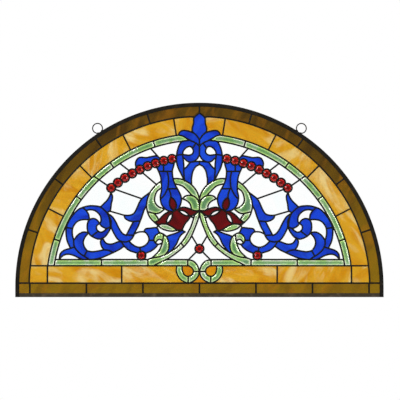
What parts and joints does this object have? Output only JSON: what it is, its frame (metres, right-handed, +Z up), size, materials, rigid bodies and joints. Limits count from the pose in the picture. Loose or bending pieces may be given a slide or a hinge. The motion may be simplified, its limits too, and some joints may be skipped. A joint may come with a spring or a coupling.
{
  "type": "window panel",
  "caption": "Half-round leaded stained-glass hanging panel with scrolls, flowers, faceted jewels and a bevelled border in a metal channel frame with wire hanging loops",
  "frame": {"origin": "midway between the crowns of the two wire hanging loops", "axes": "+Z up, the front of the panel faces -Y, X runs along the straight bottom edge"},
  "size_m": [0.914, 0.0088, 0.4824],
  "materials": {
    "frame_metal": "dark bronze patina, satin",
    "solder": "black patina on soldered lead lines, satin",
    "brown_glass": "olive brown streaky cathedral glass",
    "amber_glass": "amber and cream streaky opalescent glass",
    "green_bevel_glass": "green bevelled glass",
    "clear_glass": "clear glass, faintly blue, lightly rippled",
    "cobalt_glass": "cobalt blue cathedral glass",
    "ruby_glass": "dark red cathedral glass",
    "orange_glass": "orange cathedral glass",
    "jewel_glass": "faceted red pressed glass"
  },
  "bodies": {
    "root": {"amber_glass_01": "amber_glass", "amber_glass_02": "amber_glass", "brown_glass_01": "brown_glass", "clear_glass_01": "clear_glass", "clear_glass_02": "clear_glass", "clear_glass_03": "clear_glass", "clear_glass_04": "clear_glass", "clear_glass_05": "clear_glass", "clear_glass_06": "clear_glass", "clear_glass_07": "clear_glass", "clear_glass_08": "clear_glass", "clear_glass_09": "clear_glass", "clear_glass_10": "clear_glass", "clear_glass_11": "clear_glass", "clear_glass_12": "clear_glass", "clear_glass_13": "clear_glass", "clear_glass_14": "clear_glass", "clear_glass_15": "clear_glass", "clear_glass_16": "clear_glass", "cobalt_glass_01": "cobalt_glass", "cobalt_glass_02": "cobalt_glass", "cobalt_glass_03": "cobalt_glass", "cobalt_glass_04": "cobalt_glass", "cobalt_glass_05": "cobalt_glass", "cobalt_glass_06": "cobalt_glass", "cobalt_glass_07": "cobalt_glass", "frame_arch": "frame_metal", "frame_sill": "frame_metal", "green_bevel_glass_01": "green_bevel_glass", "green_bevel_glass_02": "green_bevel_glass", "green_bevel_glass_03": "green_bevel_glass", "green_bevel_glass_04": "green_bevel_glass", "green_bevel_glass_05": "green_bevel_glass", "jewel_centre_01": "jewel_glass", "jewel_left_01": "jewel_glass", "jewel_left_02": "jewel_glass", "jewel_left_03": "jewel_glass", "jewel_left_04": "jewel_glass", "jewel_left_05": "jewel_glass", "jewel_left_06": "jewel_glass", "jewel_left_07": "jewel_glass", "jewel_left_08": "jewel_glass", "jewel_left_09": "jewel_glass", "jewel_left_10": "jewel_glass", "jewel_right_01": "jewel_glass", "jewel_right_02": "jewel_glass", "jewel_right_03": "jewel_glass", "jewel_right_04": "jewel_glass", "jewel_right_05": "jewel_glass", "jewel_right_06": "jewel_glass", "jewel_right_07": "jewel_glass", "jewel_right_08": "jewel_glass", "jewel_right_09": "jewel_glass", "jewel_right_10": "jewel_glass", "lead_net": "solder", "loop_left": "frame_metal", "loop_right": "frame_metal", "orange_glass_01": "orange_glass", "ruby_glass_01": "ruby_glass"}
  },
  "joints": []
}
